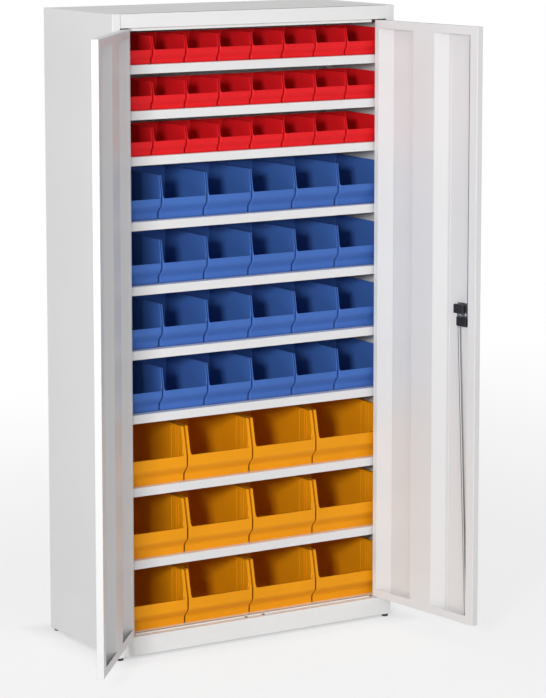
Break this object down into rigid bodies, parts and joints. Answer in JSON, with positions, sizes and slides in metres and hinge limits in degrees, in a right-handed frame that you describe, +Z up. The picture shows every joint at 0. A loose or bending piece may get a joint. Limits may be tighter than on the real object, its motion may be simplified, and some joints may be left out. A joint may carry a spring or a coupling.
{
  "type": "parts bin cabinet",
  "caption": "Tall two-door sheet-metal cabinet with adjustable shelves full of open-front plastic storage bins in three sizes and a rod lock.",
  "frame": {"origin": "on the floor, under the middle of the carcass footprint, doors not counted", "axes": "+X to the right seen from the front, +Y to the back, +Z up; the doors are on the -Y side"},
  "size_m": [1.1956, 0.8126, 1.8],
  "materials": {
    "carcass_paint": "fine-textured powder coat, satin",
    "shelf_paint": "fine-textured powder coat, satin",
    "door_paint": "fine-textured powder coat, satin",
    "zinc_steel": "zinc plated",
    "key_cylinder_chrome": "polished",
    "black_plastic": "matt",
    "buffer_rubber": "matt",
    "red_plastic": "moulded, semi-gloss",
    "blue_plastic": "moulded, semi-gloss",
    "yellow_plastic": "moulded, semi-gloss"
  },
  "bodies": {
    "carcass": {"left_side_panel": "carcass_paint", "right_side_panel": "carcass_paint", "back_panel": "carcass_paint", "top_panel": "carcass_paint", "base_panel": "carcass_paint", "shelf_rails": "carcass_paint", "shelf_1": "shelf_paint", "shelf_2": "shelf_paint", "shelf_3": "shelf_paint", "shelf_4": "shelf_paint", "shelf_5": "shelf_paint", "shelf_6": "shelf_paint", "shelf_7": "shelf_paint", "shelf_8": "shelf_paint", "shelf_9": "shelf_paint", "feet": "black_plastic", "shelf_clips": "zinc_steel", "hinge_pins": "zinc_steel", "hinge_spacers": "black_plastic", "door_buffers": "buffer_rubber", "red_end_bins": "red_plastic", "blue_end_bins": "blue_plastic", "yellow_end_bins": "yellow_plastic"},
    "left_door": {"left_door_panel": "door_paint", "left_door_stiffener": "door_paint", "left_hinge_sleeves": "zinc_steel"},
    "right_door": {"right_door_panel": "door_paint", "right_door_stiffener": "door_paint", "right_hinge_sleeves": "zinc_steel", "lock_plate": "zinc_steel", "lock_covers": "black_plastic", "lock_screws": "zinc_steel", "handle_rose": "black_plastic"},
    "handle": {"lock_spindle": "zinc_steel", "lock_cam": "zinc_steel", "handle_lever": "black_plastic"},
    "key_plug": {"key_cylinder": "key_cylinder_chrome"},
    "rod_up": {"upper_rod": "zinc_steel"},
    "rod_down": {"lower_rod": "zinc_steel"},
    "red_1_bin": {"red_1_bin": "red_plastic"},
    "red_1_bins": {"red_1_bins": "red_plastic"},
    "red_2_bin": {"red_2_bin": "red_plastic"},
    "red_2_bins": {"red_2_bins": "red_plastic"},
    "red_3_bin": {"red_3_bin": "red_plastic"},
    "red_3_bins": {"red_3_bins": "red_plastic"},
    "blue_1_bin": {"blue_1_bin": "blue_plastic"},
    "blue_1_bins": {"blue_1_bins": "blue_plastic"},
    "blue_2_bin": {"blue_2_bin": "blue_plastic"},
    "blue_2_bins": {"blue_2_bins": "blue_plastic"},
    "blue_3_bin": {"blue_3_bin": "blue_plastic"},
    "blue_3_bins": {"blue_3_bins": "blue_plastic"},
    "blue_4_bin": {"blue_4_bin": "blue_plastic"},
    "blue_4_bins": {"blue_4_bins": "blue_plastic"},
    "yellow_1_left_bin": {"yellow_1_left_bin": "yellow_plastic"},
    "yellow_1_right_bin": {"yellow_1_right_bin": "yellow_plastic"},
    "yellow_2_left_bin": {"yellow_2_left_bin": "yellow_plastic"},
    "yellow_2_right_bin": {"yellow_2_right_bin": "yellow_plastic"},
    "yellow_3_left_bin": {"yellow_3_left_bin": "yellow_plastic"},
    "yellow_3_right_bin": {"yellow_3_right_bin": "yellow_plastic"}
  },
  "joints": [
    {"name": "left_door_hinge", "type": "hinge", "parent": "carcass", "child": "left_door", "pos_m": [-0.421, -0.1945, 0.911], "axis": [0, 0, -1], "range_deg": [-130, 5]},
    {"name": "right_door_hinge", "type": "hinge", "parent": "carcass", "child": "right_door", "pos_m": [0.421, -0.1945, 0.911], "axis": [0, 0, 1], "range_deg": [-97, 38]},
    {"name": "handle_turn", "type": "hinge", "parent": "right_door", "child": "handle", "pos_m": [0.46499, -0.55281, 0.947], "axis": [0.9925, 0.1219, 0], "range_deg": [-90, 0]},
    {"name": "key_turn", "type": "hinge", "parent": "handle", "child": "key_plug", "pos_m": [0.49179, -0.54952, 0.947], "axis": [0.9925, 0.1219, 0], "range_deg": [0, 90]},
    {"name": "upper_rod_pivot", "type": "hinge", "parent": "handle", "child": "rod_up", "pos_m": [0.46326, -0.57317, 0.947], "axis": [0.9925, 0.1219, 0], "range_deg": [0, 92]},
    {"name": "lower_rod_pivot", "type": "hinge", "parent": "handle", "child": "rod_down", "pos_m": [0.45839, -0.53347, 0.947], "axis": [0.9925, 0.1219, 0], "range_deg": [0, 92]},
    {"name": "red_1_bin_slide", "type": "slide", "parent": "carcass", "child": "red_1_bin", "axis": [0, -1, 0], "range_m": [0, 0.08]},
    {"name": "red_1_bins_slide", "type": "slide", "parent": "carcass", "child": "red_1_bins", "axis": [0, -1, 0], "range_m": [0, 0.08]},
    {"name": "red_2_bin_slide", "type": "slide", "parent": "carcass", "child": "red_2_bin", "axis": [0, -1, 0], "range_m": [0, 0.08]},
    {"name": "red_2_bins_slide", "type": "slide", "parent": "carcass", "child": "red_2_bins", "axis": [0, -1, 0], "range_m": [0, 0.08]},
    {"name": "red_3_bin_slide", "type": "slide", "parent": "carcass", "child": "red_3_bin", "axis": [0, -1, 0], "range_m": [0, 0.08]},
    {"name": "red_3_bins_slide", "type": "slide", "parent": "carcass", "child": "red_3_bins", "axis": [0, -1, 0], "range_m": [0, 0.08]},
    {"name": "blue_1_bin_slide", "type": "slide", "parent": "carcass", "child": "blue_1_bin", "axis": [0, -1, 0], "range_m": [0, 0.12]},
    {"name": "blue_1_bins_slide", "type": "slide", "parent": "carcass", "child": "blue_1_bins", "axis": [0, -1, 0], "range_m": [0, 0.12]},
    {"name": "blue_2_bin_slide", "type": "slide", "parent": "carcass", "child": "blue_2_bin", "axis": [0, -1, 0], "range_m": [0, 0.12]},
    {"name": "blue_2_bins_slide", "type": "slide", "parent": "carcass", "child": "blue_2_bins", "axis": [0, -1, 0], "range_m": [0, 0.12]},
    {"name": "blue_3_bin_slide", "type": "slide", "parent": "carcass", "child": "blue_3_bin", "axis": [0, -1, 0], "range_m": [0, 0.12]},
    {"name": "blue_3_bins_slide", "type": "slide", "parent": "carcass", "child": "blue_3_bins", "axis": [0, -1, 0], "range_m": [0, 0.12]},
    {"name": "blue_4_bin_slide", "type": "slide", "parent": "carcass", "child": "blue_4_bin", "axis": [0, -1, 0], "range_m": [0, 0.12]},
    {"name": "blue_4_bins_slide", "type": "slide", "parent": "carcass", "child": "blue_4_bins", "axis": [0, -1, 0], "range_m": [0, 0.12]},
    {"name": "yellow_1_left_bin_slide", "type": "slide", "parent": "carcass", "child": "yellow_1_left_bin", "axis": [0, -1, 0], "range_m": [0, 0.17]},
    {"name": "yellow_1_right_bin_slide", "type": "slide", "parent": "carcass", "child": "yellow_1_right_bin", "axis": [0, -1, 0], "range_m": [0, 0.17]},
    {"name": "yellow_2_left_bin_slide", "type": "slide", "parent": "carcass", "child": "yellow_2_left_bin", "axis": [0, -1, 0], "range_m": [0, 0.17]},
    {"name": "yellow_2_right_bin_slide", "type": "slide", "parent": "carcass", "child": "yellow_2_right_bin", "axis": [0, -1, 0], "range_m": [0, 0.17]},
    {"name": "yellow_3_left_bin_slide", "type": "slide", "parent": "carcass", "child": "yellow_3_left_bin", "axis": [0, -1, 0], "range_m": [0, 0.17]},
    {"name": "yellow_3_right_bin_slide", "type": "slide", "parent": "carcass", "child": "yellow_3_right_bin", "axis": [0, -1, 0], "range_m": [0, 0.17]}
  ],
  "couplings": [
    {"joint": "upper_rod_pivot", "follows": "handle_turn", "ratio": -1.0157},
    {"joint": "lower_rod_pivot", "follows": "handle_turn", "ratio": -1.0144}
  ]
}
